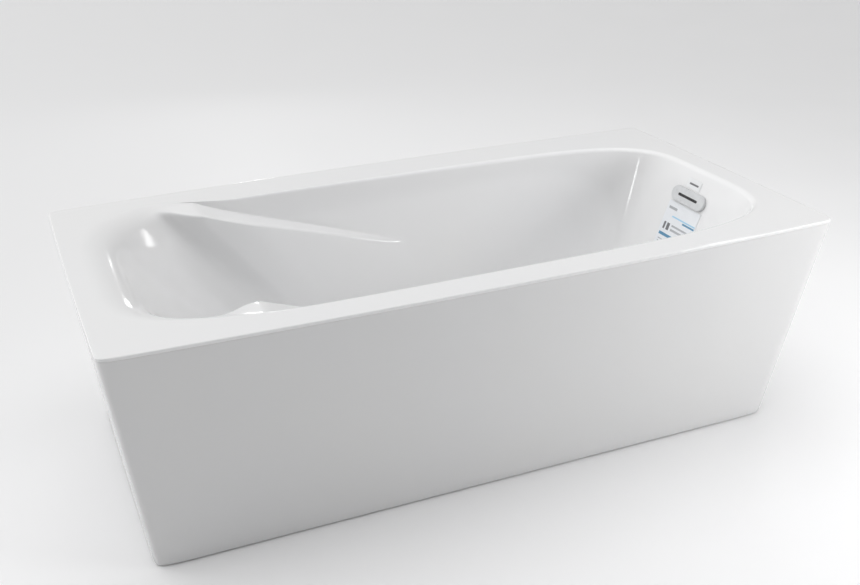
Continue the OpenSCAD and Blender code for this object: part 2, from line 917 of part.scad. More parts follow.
// The hose's middle line, from the elbow down behind the foot wall to the waste body
hose_from = [hose_top_x, waste_y, spigot_low + 22];
hose_to = [drain[0] + port_x - 20, waste_y, port_z];
hose_pull = 130;
hose_straight = 24;
hose_start = hose_from - [0, 0, hose_straight];
hose_end = hose_to + [hose_straight, 0, 0];
function bezier(a, b, c, d, t) =
    a * pow(1 - t, 3) + 3 * b * t * pow(1 - t, 2) + 3 * c * t * t * (1 - t) + d * pow(t, 3);
hose_bends = 20;
hose_line = concat(
    [hose_from],
    [for (i = [0:hose_bends])
        bezier(hose_start, hose_start - [0, 0, 1.5 * hose_pull], hose_end + [hose_pull, 0, 0],
               hose_end, i / hose_bends)],
    [hose_to]
);
hose_steps = hose_bends + 2;
hose_sides = 10;

function hose_dir(i) =
    i == 0 ? [0, 0, -1] : i == hose_steps ? [-1, 0, 0] : unit(hose_line[i + 1] - hose_line[i - 1]);

function hose_ring(i, r) =
    let (dir = hose_dir(i), side = [0, 1, 0], other = cross(dir, side))
    [for (k = [0:hose_sides - 1])
        hose_line[i] + r * (side * cos(360 * k / hose_sides) + other * sin(360 * k / hose_sides))];

// A tube swept along the hose's line, open at both ends
module overflow_hose() {
    inner_r = port_r + 0.6;
    outer = [for (i = [0:hose_steps]) each hose_ring(i, hose_r)];
    inner = [for (i = [0:hose_steps]) each hose_ring(i, inner_r)];
    n = hose_sides;
    first_in = len(outer);
    function wall(i, k, first, flip) =
        let (
            a = first + i * n + k,
            b = first + i * n + (k + 1) % n,
            quad = [a, b, b + n, a + n]
        )
        flip ? [quad[3], quad[2], quad[1], quad[0]] : quad;
    last = hose_steps * n;
    faces = concat(
        [for (i = [0:hose_steps - 1], k = [0:n - 1]) wall(i, k, 0, true)],
        [for (i = [0:hose_steps - 1], k = [0:n - 1]) wall(i, k, first_in, false)],
        [for (k = [0:n - 1]) let (m = (k + 1) % n) [k, m, first_in + m, first_in + k]],
        [for (k = [0:n - 1]) let (m = (k + 1) % n)
            [last + k, first_in + last + k, first_in + last + m, last + m]]
    );
    color("lightgray") polyhedron(concat(outer, inner), faces);
}

clamp_t = 1.2;
clamp_w = 8;
module hose_clamps() {
    color("silver") {
        translate([hose_from[0], hose_from[1], hose_from[2] - 12])
            ring_of(hose_r + clamp_t, hose_r, 0, clamp_w);
        translate([hose_to[0] + 4, hose_to[1], hose_to[2]])
            rotate([0, 90, 0])
                ring_of(hose_r + clamp_t, hose_r, 0, clamp_w);
    }
}

// ---- labels ----
label_gap = 0.7;
label_down = overflow_down + plate_h / 2 + 4;
label_cols = 12;
label_rows = 4;
small_w = 56;
small_h = 28;
small_down = overflow_down - plate_h / 2 - 4 - small_h;

// A point of the foot wall, a distance down its slope and across from the overflow
function foot_wall(across, down) =
    let (
        t = down * cos(wall_lean) / depth,
        middle = lerp(basin[2] + basin[3], well[2] + well[3], t) / 2,
        half = lerp(basin[3] - basin[2] - 2 * side_roll, well[3] - well[2], t) / 2,
        c = corners([1, (waste_y + across - middle) / half])
    )
    lerp(c[1], c[4], t);

wall_normal = [-cos(wall_lean), 0, sin(wall_lean)];

// A film that follows the foot wall
module sticker(down, width, height) {
    row = label_cols + 1;
    function film(lift) = [for (r = [0:label_rows], c = [0:label_cols])
        foot_wall((c / label_cols - 0.5) * width, down + height * r / label_rows)
            + wall_normal * lift];
    n = row * (label_rows + 1);
    function quad(a, b, c, d) = [[a, b, c], [a, c, d]];
    sheet = [for (r = [0:label_rows - 1], c = [0:label_cols - 1])
        each quad(r * row + c, r * row + c + 1, (r + 1) * row + c + 1, (r + 1) * row + c)];
    edge = concat(
        [for (c = [0:label_cols - 1]) c],
        [for (r = [0:label_rows - 1]) r * row + label_cols],
        [for (c = [label_cols:-1:1]) label_rows * row + c],
        [for (r = [label_rows:-1:1]) r * row]
    );
    sides = [for (k = [0:len(edge) - 1])
        let (a = edge[k], b = edge[(k + 1) % len(edge)])
        each quad(a, a + n, b + n, b)];
    polyhedron(
        concat(film(label_gap), film(label_gap + label_t)),
        concat([for (f = sheet) f], [for (f = sheet) [f[2] + n, f[1] + n, f[0] + n]], sides)
    );
}

module care_label() {
    color("lightblue") sticker(label_down, label_w, label_h);
}

module small_label() {
    color("white") sticker(small_down, small_w, small_h);
}

bath_shell();
side_panel(-1);  // front_panel
side_panel(1);  // back_panel
end_panel(-1);  // head_panel
end_panel(1);  // foot_panel
base_board();
rim_batten_front();
rim_batten_back();
rim_batten_head();
rim_batten_foot();
long_rail(-1);  // long_rail_front
long_rail(1);  // long_rail_back
cross_rail(cross_xs[0]);  // cross_rail_head
cross_rail(cross_xs[1]);  // cross_rail_mid
cross_rail(cross_xs[2]);  // cross_rail_foot
for (i = [1:4])
    corner_post(post_places[i - 1]);
post_pads();
rail_bolts();
rail_nuts();
panel_brackets();
bracket_screws();
for (i = [1:6])
    foot_pad(foot_places[i - 1]);
for (i = [1:6])
    foot_stud(foot_places[i - 1]);
foot_lock_nuts();
drain_flange();
drain_plug();
drain_gasket_upper();
drain_gasket_lower();
waste_body();
trap_nut();
trap_cup();
trap_outlet();
overflow_faceplate();
overflow_inlet();
overflow_gasket();
overflow_elbow();
overflow_hose();
hose_clamps();
care_label();
small_label();
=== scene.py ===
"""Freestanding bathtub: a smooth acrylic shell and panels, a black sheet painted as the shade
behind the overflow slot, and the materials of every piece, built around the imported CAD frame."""
import json
import math

import bmesh
import bpy
import numpy as np
from mathutils import Matrix, Vector


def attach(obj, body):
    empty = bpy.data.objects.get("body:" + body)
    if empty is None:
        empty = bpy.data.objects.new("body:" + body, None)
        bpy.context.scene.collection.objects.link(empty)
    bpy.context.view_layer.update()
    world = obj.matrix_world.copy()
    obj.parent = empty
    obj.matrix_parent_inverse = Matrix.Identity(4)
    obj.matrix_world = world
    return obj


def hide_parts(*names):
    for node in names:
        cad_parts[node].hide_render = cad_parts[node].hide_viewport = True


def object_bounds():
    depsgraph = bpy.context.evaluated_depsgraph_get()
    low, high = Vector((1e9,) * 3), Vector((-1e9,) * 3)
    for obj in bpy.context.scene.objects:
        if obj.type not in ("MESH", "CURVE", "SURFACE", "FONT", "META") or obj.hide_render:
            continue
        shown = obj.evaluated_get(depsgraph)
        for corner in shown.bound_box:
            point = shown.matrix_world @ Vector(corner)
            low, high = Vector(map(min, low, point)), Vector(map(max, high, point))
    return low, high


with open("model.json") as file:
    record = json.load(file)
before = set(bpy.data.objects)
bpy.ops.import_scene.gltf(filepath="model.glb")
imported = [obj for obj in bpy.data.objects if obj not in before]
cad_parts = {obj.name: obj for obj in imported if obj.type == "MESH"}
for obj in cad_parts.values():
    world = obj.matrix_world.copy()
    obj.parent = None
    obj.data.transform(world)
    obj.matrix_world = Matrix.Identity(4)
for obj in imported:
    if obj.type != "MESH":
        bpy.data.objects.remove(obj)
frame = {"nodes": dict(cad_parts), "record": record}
cad_low, cad_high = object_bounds()
nodes = frame["nodes"]
MM = 0.001

# ---------------------------------------------------------------- sizes, in metres, as in the CAD
TUB_L, TUB_W, TUB_H = (cad_high[i] - cad_low[i] for i in range(3))
SIDE_BOW, END_BOW = 16 * MM, 4 * MM
TAPER = 66 * MM
RIM_HEAD, RIM_FOOT, RIM_FRONT, RIM_BACK = 40 * MM, 60 * MM, 74 * MM, 118 * MM
LIP_H, EDGE_R, SHELL_T = 8 * MM, 3 * MM, 5 * MM
FLOOR_Z = 150 * MM
BACK_RUN, FOOT_RUN, FRONT_RUN, REAR_RUN = 480 * MM, 165 * MM, 132 * MM, 112 * MM
SIDE_ROLL, HEAD_ROLL, FLOOR_ROLL = 12 * MM, 30 * MM, 60 * MM
SHOULDER_W, SHOULDER_DROP, SHOULDER_EDGE = 50 * MM, 16 * MM, 25 * MM
SHOULDER_RUN = 125 * MM
HEAD_FLARE, FLARE_RUN, FLARE_LEAD = 90 * MM, 280 * MM, 115 * MM
ARM_STEP = 3 * MM
ARM_W, ARM_START, ARM_END, ARM_FALL, ARM_TILT = 80 * MM, 355 * MM, 940 * MM, 0.305, 9 * MM
CREASE, ARM_EDGE = 5 * MM, 8 * MM
PANEL_T, FLOOR_GAP, PANEL_RETURN, SEAM, JOINT_LAP = 5 * MM, 5 * MM, 18 * MM, 0.4 * MM, 1 * MM
DRAIN_INSET, WASTE_Y, DRAIN_R, FLANGE_R = 360 * MM, 4 * MM, 26 * MM, 36 * MM
OVERFLOW_DOWN = 84 * MM
# The black sheet behind the overflow slot, painted shade for its dark pocket: length, height, distance
# out, thickness
SHADE_SHEET_L, SHADE_SHEET_H, SHADE_SHEET_OUT, SHADE_SHEET_T = 100 * MM, 20 * MM, 5 * MM, 0.3 * MM
BASIN_POWER, WELL_POWER, RIM_POWER, BASE_POWER = 4.5, 4.5, 60, 40

# Mesh fineness: stations along each side and each end, and extra rings that hold flat faces flat
SHELL_STATIONS, PANEL_STATIONS = (150, 90), (120, 70)
RIM_BAND, EDGE_BAND = 20 * MM, 4 * MM
FLOOR_RINGS = 8
LEG_SHARE, FLOOR_SHARE = 0.48, 0.6

HALF_L, HALF_W = TUB_L / 2, TUB_W / 2
RIM_X, RIM_Y = HALF_L - END_BOW, HALF_W - SIDE_BOW
BASE_X, BASE_Y = RIM_X - TAPER, RIM_Y - TAPER
BASIN = (-HALF_L + RIM_HEAD, HALF_L - RIM_FOOT, -HALF_W + RIM_FRONT, HALF_W - RIM_BACK)
WELL = (BASIN[0] + BACK_RUN, BASIN[1] - FOOT_RUN, BASIN[2] + FRONT_RUN, BASIN[3] - REAR_RUN)
DEPTH = TUB_H - FLOOR_Z
DRAIN = np.array([HALF_L - DRAIN_INSET, WASTE_Y])
ARM_HEAD_X, ARM_TIP_X = ARM_START - HALF_L, ARM_END - HALF_L
SOFT_X = BASIN[0] + SHOULDER_RUN
FLARE_X = ARM_HEAD_X + FLARE_LEAD


# ---------------------------------------------------------------- outlines and sections
def stations(side_steps, end_steps):
    """Points round the unit square, closer together near its corners."""
    side = np.sin(np.pi / 2 * (2 * np.arange(side_steps) / side_steps - 1))
    end = np.sin(np.pi / 2 * (2 * np.arange(end_steps) / end_steps - 1))
    one_s, one_e = np.ones_like(side), np.ones_like(end)
    return np.concatenate([
        np.stack([side, -one_s], 1), np.stack([one_e, end], 1),
        np.stack([-side, one_s], 1), np.stack([-one_e, -end], 1),
    ])


def superellipse(s, power):
    return s * ((np.abs(s) ** power).sum(1) ** (-1 / power))[:, None]


def on_outline(s, box, power):
    middle = np.array([box[0] + box[1], box[2] + box[3]]) / 2
    half = np.array([box[1] - box[0], box[3] - box[2]]) / 2
    return middle + superellipse(s, power) * half


def outer(s, inset, share):
    """The tub's outline, inset by a distance, with a share of the bow and the taper left."""
    power = BASE_POWER + (RIM_POWER - BASE_POWER) * share
    bow = share * np.stack([END_BOW * (1 - s[:, 1] ** 2), SIDE_BOW * (1 - s[:, 0] ** 2)], 1)
    half = np.array([BASE_X, BASE_Y]) + TAPER * share - inset
    return superellipse(s, power) * (half + bow)


def share_at(z):
    return (z - FLOOR_GAP) / (TUB_H - FLOOR_GAP)


def at_z(p, z):
    return np.column_stack([p, np.broadcast_to(z, len(p))])


def smooth(t):
    c = np.clip(t, 0, 1)
    return c * c * (3 - 2 * c)


def unit(v):
    return v / np.maximum(np.linalg.norm(v, axis=-1, keepdims=True), 1e-12)


def column(v):
    return np.asarray(v)[:, None]


def arc(a, p, b, reach, steps):
    """Round the corners p with circular arcs that meet both legs at the given reach."""
    back, on = unit(a - p), unit(b - p)
    reach = column(np.broadcast_to(reach, len(p)))
    start, end = p + back * reach, p + on * reach
    w = column(np.cos(np.arccos(np.clip((-back * on).sum(1), -1, 1)) / 2))
    out = []
    for t in np.linspace(0, 1, steps + 1):
        k = (1 - t) ** 2 + 2 * w * t * (1 - t) + t * t
        out.append((start * (1 - t) ** 2 + p * 2 * w * t * (1 - t) + end * t * t) / k)
    return out


def softness(x):
    return smooth((ARM_HEAD_X - x) / (ARM_HEAD_X - SOFT_X))


def mix(a, b, t):
    return a + (b - a) * t


def basin_edge(s):
    """The basin's edge: an even outline, flared towards the back at the head end."""
    p = on_outline(s, BASIN, BASIN_POWER)
    back = np.maximum(0, (2 * p[:, 1] - BASIN[2] - BASIN[3]) / (BASIN[3] - BASIN[2]))
    p[:, 1] += HEAD_FLARE * smooth((FLARE_X - p[:, 0]) / FLARE_RUN) * back ** 2
    return p


def corners(s):
    """The section's corners at each station: rim, rim edge, ledge creases, floor edge, drain."""
    rim, low = basin_edge(s), on_outline(s, WELL, WELL_POWER)
    soft = column(softness(rim[:, 0]))
    inward = unit(low - rim)
    top = rim + inward * mix(SIDE_ROLL, HEAD_ROLL, soft)
    run = (low[:, 0] - top[:, 0]) / DEPTH
    fall = ARM_FALL * (top[:, 0] - ARM_HEAD_X) / (1 - ARM_FALL * run)
    down = np.clip(fall, ARM_STEP, ARM_FALL * (ARM_TIP_X - ARM_HEAD_X))
    wall = top + (low - top) * column(down / DEPTH)
    left = np.clip((ARM_TIP_X - wall[:, 0]) / (ARM_TIP_X - ARM_HEAD_X), 0, 1)
    across = np.stack([0 * s[:, 1], -np.sign(s[:, 1])], 1) * (np.abs(s[:, 1:]) == 1)
    first, crease, foot = at_z(top, TUB_H), at_z(wall, TUB_H - down), at_z(low, FLOOR_Z)
    ledge = crease + (foot - crease) * column(ARM_TILT / (DEPTH - down))
    ledge = ledge + at_z(across * column(ARM_W * left), 0)
    ledge = mix(ledge, at_z(top + inward * SHOULDER_W, TUB_H - SHOULDER_DROP), soft)
    crease = mix(crease, (first + ledge) / 2, soft)
    drain = at_z(np.tile(DRAIN, (len(s), 1)), FLOOR_Z)
    return [at_z(rim - inward * RIM_BAND, TUB_H), first, crease, ledge, foot, drain], soft[:, 0]


def between(a, b, steps):
    """Evenly spaced points strictly between two rows of points."""
    return [a + (b - a) * i / (steps + 1) for i in range(1, steps + 1)]


def gap(a, b):
    return np.linalg.norm(b - a, axis=1)


def sections(s):
    """Every ring of the basin's surface, from the flat rim to the drain hole."""
    c, soft = corners(s)
    wall, ledge = gap(c[1], c[2]), gap(c[2], c[3])
    roll = np.minimum(mix(SIDE_ROLL, HEAD_ROLL, soft), LEG_SHARE * 2 * wall)
    crease = np.minimum.reduce([CREASE * (1 - soft), LEG_SHARE * ledge, LEG_SHARE * wall])
    roll = np.minimum(roll, wall - crease)
    edge = np.minimum(mix(ARM_EDGE, SHOULDER_EDGE, soft), ledge - crease)
    floor_reach = np.minimum(FLOOR_ROLL, FLOOR_SHARE * gap(c[4], c[5]))
    rings = arc(c[0], c[1], c[2], roll, 10)
    upper = arc(c[1], c[2], c[3], crease, 5)
    rings += between(rings[-1], upper[0], 5) + upper
    lower = arc(c[2], c[3], c[4], edge, 9)
    rings += between(rings[-1], lower[0], 3) + lower
    bottom = arc(c[3], c[4], c[5], floor_reach, 12)
    rings += between(rings[-1], bottom[0], 9) + bottom
    to_hole = unit(c[4] - c[5])
    near, hole = c[5] + to_hole * FLANGE_R * 1.2, c[5] + to_hole * DRAIN_R
    rings += between(rings[-1], near, 5) + [near, hole]
    return np.stack(rings, 1)


# ---------------------------------------------------------------- mesh helpers
def new_object(name, data):
    obj = bpy.data.objects.new(name, data)
    bpy.context.scene.collection.objects.link(obj)
    return obj


def shade(mesh, angle=40):
    """Smooth shading, with edges sharper than the angle kept crisp."""
    for poly in mesh.polygons:
        poly.use_smooth = True
    mesh.set_sharp_from_angle(angle=math.radians(angle))


def ring_mesh(name, loops):
    """A closed torus-like mesh from loops[station][ring]."""
    count, n = loops.shape[:2]
    i, j = np.meshgrid(np.arange(count), np.arange(n), indexing="ij")
    i2, j2 = (i + 1) % count, (j + 1) % n
    quads = np.stack([i * n + j, i2 * n + j, i2 * n + j2, i * n + j2], -1).reshape(-1, 4)
    mesh = bpy.data.meshes.new(name)
    mesh.from_pydata(loops.reshape(-1, 3).tolist(), [], quads.tolist())
    shade(mesh)
    return new_object(name, mesh)


def face_outward(obj):
    bm = bmesh.new()
    bm.from_mesh(obj.data)
    bmesh.ops.recalc_face_normals(bm, faces=bm.faces)
    bm.to_mesh(obj.data)
    bm.free()


# ---------------------------------------------------------------- materials
def material(name, color, rough, **sockets):
    """A principled material, with any other socket set by its name."""
    mat = bpy.data.materials.new(name)
    mat.use_nodes = True
    tree = mat.node_tree
    bsdf = tree.nodes["Principled BSDF"]
    bsdf.inputs["Base Color"].default_value = (*color, 1)
    bsdf.inputs["Roughness"].default_value = rough
    for key, value in sockets.items():
        bsdf.inputs[key.replace("_", " ")].default_value = value
    return mat, tree, bsdf


def noise(tree, scale, detail=3, stretch=(1, 1, 1)):
    """Noise in object coordinates."""
    coord = tree.nodes.new("ShaderNodeTexCoord")
    mapping = tree.nodes.new("ShaderNodeMapping")
    mapping.inputs["Scale"].default_value = stretch
    tex = tree.nodes.new("ShaderNodeTexNoise")
    tex.inputs["Scale"].default_value = scale
    tex.inputs["Detail"].default_value = detail
    tree.links.new(coord.outputs["Object"], mapping.inputs["Vector"])
    tree.links.new(mapping.outputs["Vector"], tex.inputs["Vector"])
    return tex.outputs["Fac"]


def spread(tree, value, low, high):
    """Map a 0 to 1 value to a range."""
    node = tree.nodes.new("ShaderNodeMapRange")
    node.inputs["To Min"].default_value = low
    node.inputs["To Max"].default_value = high
    tree.links.new(value, node.inputs["Value"])
    return node.outputs["Result"]


def two_tone(tree, value, dark, light, low=0.3, high=0.7):
    ramp = tree.nodes.new("ShaderNodeValToRGB")
    ramp.color_ramp.elements[0].position = low
    ramp.color_ramp.elements[0].color = (*dark, 1)
    ramp.color_ramp.elements[1].position = high
    ramp.color_ramp.elements[1].color = (*light, 1)
    tree.links.new(value, ramp.inputs["Fac"])
    return ramp.outputs["Color"]


def bump(tree, bsdf, height, strength, distance):
    node = tree.nodes.new("ShaderNodeBump")
    node.inputs["Strength"].default_value = strength
    node.inputs["Distance"].default_value = distance
    tree.links.new(height, node.inputs["Height"])
    tree.links.new(node.outputs["Normal"], bsdf.inputs["Normal"])


def acrylic(name, light, rough_low, rough_high, wave):
    """White sanitary acrylic: a clear gloss over a faintly uneven body."""
    mat, tree, bsdf = material(name, (light,) * 3, rough_low, IOR=1.49)
    cooler = tuple(light * k for k in (0.990, 0.992, 1.0))
    color = two_tone(tree, noise(tree, 2.2, 2), cooler, (light,) * 3)
    tree.links.new(color, bsdf.inputs["Base Color"])
    tree.links.new(spread(tree, noise(tree, 9, 4), rough_low, rough_high), bsdf.inputs["Roughness"])
    bump(tree, bsdf, noise(tree, 28, 2), wave, 0.4 * MM)
    return mat


def simple(name, dark, light, rough_low, rough_high, scale, grain, stretch, **sockets):
    """A material whose colour, roughness and bump all follow one noise."""
    mat, tree, bsdf = material(name, light, rough_low, **sockets)
    value = noise(tree, scale, 5, stretch)
    tree.links.new(two_tone(tree, value, dark, light), bsdf.inputs["Base Color"])
    tree.links.new(spread(tree, value, rough_low, rough_high), bsdf.inputs["Roughness"])
    bump(tree, bsdf, value, grain, 0.3 * MM)
    return mat


def printed(name, base, bars):
    """A label film with plain bars, each (low y, high y, low z, high z, colour) in millimetres."""
    mat, tree, bsdf = material(name, base, 0.3, IOR=1.45)
    coord = tree.nodes.new("ShaderNodeTexCoord")
    axes = tree.nodes.new("ShaderNodeSeparateXYZ")
    tree.links.new(coord.outputs["Object"], axes.inputs["Vector"])

    def math_node(operation, a, b):
        node = tree.nodes.new("ShaderNodeMath")
        node.operation = operation
        for socket, value in zip(node.inputs, (a, b)):
            if isinstance(value, (int, float)):
                socket.default_value = value
            else:
                tree.links.new(value, socket)
        return node.outputs[0]

    color = two_tone(tree, noise(tree, 60), tuple(0.97 * c for c in base), base)
    for low_y, high_y, low_z, high_z, paint_color in bars:
        inside = None
        for axis, low, high in (("Y", low_y, high_y), ("Z", low_z, high_z)):
            for operation, limit in (("GREATER_THAN", low), ("LESS_THAN", high)):
                part = math_node(operation, axes.outputs[axis], limit * MM)
                inside = part if inside is None else math_node("MULTIPLY", inside, part)
        node = tree.nodes.new("ShaderNodeMix")
        node.data_type = "RGBA"
        tree.links.new(inside, node.inputs["Factor"])
        tree.links.new(color, node.inputs["A"])
        node.inputs["B"].default_value = (*paint_color, 1)
        color = node.outputs["Result"]
    tree.links.new(color, bsdf.inputs["Base Color"])
    tree.links.new(spread(tree, noise(tree, 90), 0.26, 0.36), bsdf.inputs["Roughness"])
    return mat


INK, SOFT_INK = (0.16, 0.16, 0.17), (0.42, 0.43, 0.45)
BLUE, PALE_BLUE = (0.10, 0.27, 0.42), (0.36, 0.60, 0.78)
CARE_BARS = (
    [(30, 66, 455, 462, SOFT_INK)]
    + [(-62, 40, 436, 440, PALE_BLUE), (-62, -10, 429, 434, BLUE)]
    + [(54, 62, 398, 418, INK), (36, 48, 398, 418, INK)]
    + [(-40, 28, 412, 417, SOFT_INK), (-46, 28, 400, 406, SOFT_INK)]
    + [(-58, 68, 380, 388, BLUE)]
    + [(-44 + 9 * (row % 2), 64, 368 - 7 * row, 370.5 - 7 * row, SOFT_INK) for row in range(4)]
)
SMALL_BARS = [(-14, 24, 536, 541, INK)]

METAL = {"Metallic": 1.0}
MATERIALS = {
    "gloss_acrylic": acrylic("gloss_acrylic", 0.82, 0.07, 0.11, 0.02),
    # The panels are the same white acrylic as the shell, set darker: painted shade for their faces,
    # which turn away from the lights
    "panel_acrylic": acrylic("panel_acrylic", 0.70, 0.16, 0.22, 0.02),
}
for name, dark, light, rough_low, rough_high, scale, grain, stretch, sockets in (
    ("birch_board", (0.45, 0.3, 0.17), (0.66, 0.49, 0.31), 0.5, 0.7, 30, 0.3, (1, 12, 1), {}),
    ("pine_batten", (0.5, 0.34, 0.18), (0.72, 0.55, 0.35), 0.55, 0.75, 26, 0.3, (0.4, 8, 8), {}),
    ("galvanised_tube", (0.34, 0.36, 0.38), (0.52, 0.54, 0.56), 0.32, 0.5, 45, 0.05, (1, 1, 1), METAL),
    ("zinc_hardware", (0.5, 0.5, 0.47), (0.68, 0.68, 0.64), 0.24, 0.38, 120, 0.05, (1, 1, 1), METAL),
    ("black_rubber", (0.012, 0.012, 0.012), (0.03, 0.03, 0.03), 0.6, 0.8, 160, 0.2, (1, 1, 1), {}),
    ("foot_plastic", (0.018, 0.018, 0.02), (0.035, 0.035, 0.038), 0.45, 0.6, 220, 0.2, (1, 1, 1), {}),
    ("chrome_trim", (0.72, 0.73, 0.75), (0.8, 0.81, 0.82), 0.04, 0.09, 20, 0.01, (1, 1, 1), METAL),
    ("overflow_trim", (0.60, 0.61, 0.62), (0.66, 0.67, 0.68), 0.25, 0.32, 60, 0.02, (1, 1, 1), {}),
    ("grey_hose", (0.5, 0.51, 0.52), (0.58, 0.59, 0.6), 0.4, 0.55, 60, 0.1, (1, 1, 1), {}),
    ("white_fittings", (0.7, 0.7, 0.68), (0.78, 0.78, 0.76), 0.3, 0.42, 70, 0.08, (1, 1, 1), {}),
):
    MATERIALS[name] = simple(name, dark, light, rough_low, rough_high, scale, grain, stretch, **sockets)
for name, base, bars in (
    ("care_label_film", (0.80, 0.82, 0.85), CARE_BARS),
    ("small_label_film", (0.80, 0.81, 0.82), SMALL_BARS),
):
    MATERIALS[name] = printed(name, base, bars)


def paint(obj, slot):
    obj.data.materials.clear()
    obj.data.materials.append(MATERIALS[slot])


SLOTS = {row["node"]: row["material_slot"] for row in frame["record"]["subparts"]}


# ---------------------------------------------------------------- shell
def make_shell():
    """Rim, basin and lip: the basin's rings, the same rings moved out by the wall, and the lip."""
    s = stations(*SHELL_STATIONS)
    inner = sections(s)
    along = np.roll(inner, -1, 0) - np.roll(inner, 1, 0)
    down = np.gradient(inner, axis=1)
    away = unit(np.cross(down, along))
    away[:, 0] = (0, 0, -1)
    away[:, -FLOOR_RINGS:] = (0, 0, -1)
    skin = (inner + away * SHELL_T)[:, ::-1]
    lip_z = TUB_H - LIP_H
    edge = [at_z(outer(s, EDGE_R * (1 - math.cos(a)), 1), TUB_H - EDGE_R + EDGE_R * math.sin(a))
            for a in np.radians([0, 15, 30, 45, 60, 75, 90])]
    lip = [at_z(outer(s, 0, share_at(lip_z)), lip_z)]
    flat = [at_z(outer(s, EDGE_R + EDGE_BAND, 1), TUB_H),
            inner[:, 0] + unit(edge[-1] - inner[:, 0]) * EDGE_BAND]
    under = [at_z(outer(s, SHELL_T, share_at(TUB_H - SHELL_T)), TUB_H - SHELL_T),
             at_z(outer(s, SHELL_T, share_at(lip_z)), lip_z)]
    rings = [r[:, None] for r in lip + edge + flat] + [inner, skin] + [r[:, None] for r in under]
    shell = ring_mesh("acrylic_shell", np.concatenate(rings, 1))
    face_outward(shell)
    shade(shell.data)
    paint(shell, "gloss_acrylic")
    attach(shell, "root")
    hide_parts("bath_shell")


# ---------------------------------------------------------------- panels
def panel_ring(name):
    """The four panels as one closed ring, before they are cut apart."""
    s = stations(*PANEL_STATIONS)
    top = TUB_H - LIP_H - SEAM
    low = FLOOR_GAP
    rows = np.linspace(low, top, 24)
    r = 1.2 * MM
    loop = [at_z(outer(s, PANEL_RETURN, share_at(low)), low)]
    loop += [at_z(outer(s, 4 * MM, share_at(low)), low), at_z(outer(s, r, share_at(low)), low)]
    loop += [at_z(outer(s, 0.3 * r, share_at(low + 0.3 * r)), low + 0.3 * r)]
    loop += [at_z(outer(s, 0, share_at(low + r)), low + r)]
    loop += [at_z(outer(s, 0, share_at(z)), z) for z in rows[1:-1]]
    loop += [at_z(outer(s, 0, share_at(top - 0.5 * MM)), top - 0.5 * MM)]
    loop += [at_z(outer(s, 0.5 * MM, share_at(top)), top)]
    loop += [at_z(outer(s, PANEL_T, share_at(top)), top)]
    loop += [at_z(outer(s, PANEL_T, share_at(z)), z) for z in rows[-2:1:-5]]
    loop += [at_z(outer(s, PANEL_T, share_at(low + PANEL_T)), low + PANEL_T)]
    loop += [at_z(outer(s, PANEL_RETURN, share_at(low + PANEL_T)), low + PANEL_T)]
    return ring_mesh(name, np.stack(loop, 1))


def keep_side(obj, point, normal):
    """Cut the closed mesh with a plane, keep the normal's side and close the cut."""
    bm = bmesh.new()
    bm.from_mesh(obj.data)
    geom = bm.verts[:] + bm.edges[:] + bm.faces[:]
    cut = bmesh.ops.bisect_plane(bm, geom=geom, plane_co=point, plane_no=normal, clear_inner=True)
    edges = [e for e in cut["geom_cut"] if isinstance(e, bmesh.types.BMEdge) and e.is_valid]
    bmesh.ops.edgenet_fill(bm, edges=edges)
    bm.to_mesh(obj.data)
    bm.free()


def make_panels():
    """The side panels turn the corners; the joint with the end panels leans with the corner."""
    lean = TAPER / (TUB_H - FLOOR_GAP)
    joint = BASE_Y - PANEL_RETURN - JOINT_LAP - lean * FLOOR_GAP
    between_sides = [((0, side * (joint - SEAM), 0), (0, -side, lean)) for side in (-1, 1)]
    plans = {
        "front_panel": [((0, -joint, 0), (0, -1, -lean))],
        "back_panel": [((0, joint, 0), (0, 1, -lean))],
        "head_panel": between_sides + [((0, 0, 0), (-1, 0, 0))],
        "foot_panel": between_sides + [((0, 0, 0), (1, 0, 0))],
    }
    for node, planes in plans.items():
        panel = panel_ring("smooth_" + node)
        for point, normal in planes:
            keep_side(panel, point, normal)
        face_outward(panel)
        shade(panel.data)
        paint(panel, "panel_acrylic")
        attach(panel, "root")
        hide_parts(node)


def make_slot_shade_sheet():
    """A black sheet behind the slot of the overflow plate: painted shade for the dark pocket there."""
    lean = math.atan2(BASIN[1] - SIDE_ROLL - WELL[1], DEPTH)
    up = Vector((math.sin(lean), 0, math.cos(lean)))
    out = Vector((-math.cos(lean), 0, math.sin(lean)))
    middle = Vector((BASIN[1] - SIDE_ROLL, WASTE_Y, TUB_H)) - up * OVERFLOW_DOWN + out * SHADE_SHEET_OUT
    half, r = SHADE_SHEET_L / 2 - SHADE_SHEET_H / 2, SHADE_SHEET_H / 2
    turn = [math.radians(a) for a in range(-90, 91, 15)]
    outline = [(half + r * math.cos(a), r * math.sin(a)) for a in turn]
    outline += [(-half - r * math.cos(a), -r * math.sin(a)) for a in turn]
    side = Vector((0, 1, 0))
    count = len(outline)
    verts = [middle + side * y + up * z + out * lift for lift in (0, SHADE_SHEET_T) for y, z in outline]
    faces = [tuple(range(count)), tuple(range(count, 2 * count))]
    faces += [(i, (i + 1) % count, count + (i + 1) % count, count + i) for i in range(count)]
    mesh = bpy.data.meshes.new("overflow_slot_painted_shade")
    mesh.from_pydata([tuple(v) for v in verts], [], faces)
    shade_sheet = new_object("overflow_slot_painted_shade", mesh)
    face_outward(shade_sheet)
    # Black, as painted shade in the pocket behind the slot
    paint(shade_sheet, "foot_plastic")
    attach(shade_sheet, "root")


make_shell()
make_panels()
make_slot_shade_sheet()
for name, obj in nodes.items():
    paint(obj, SLOTS[name])

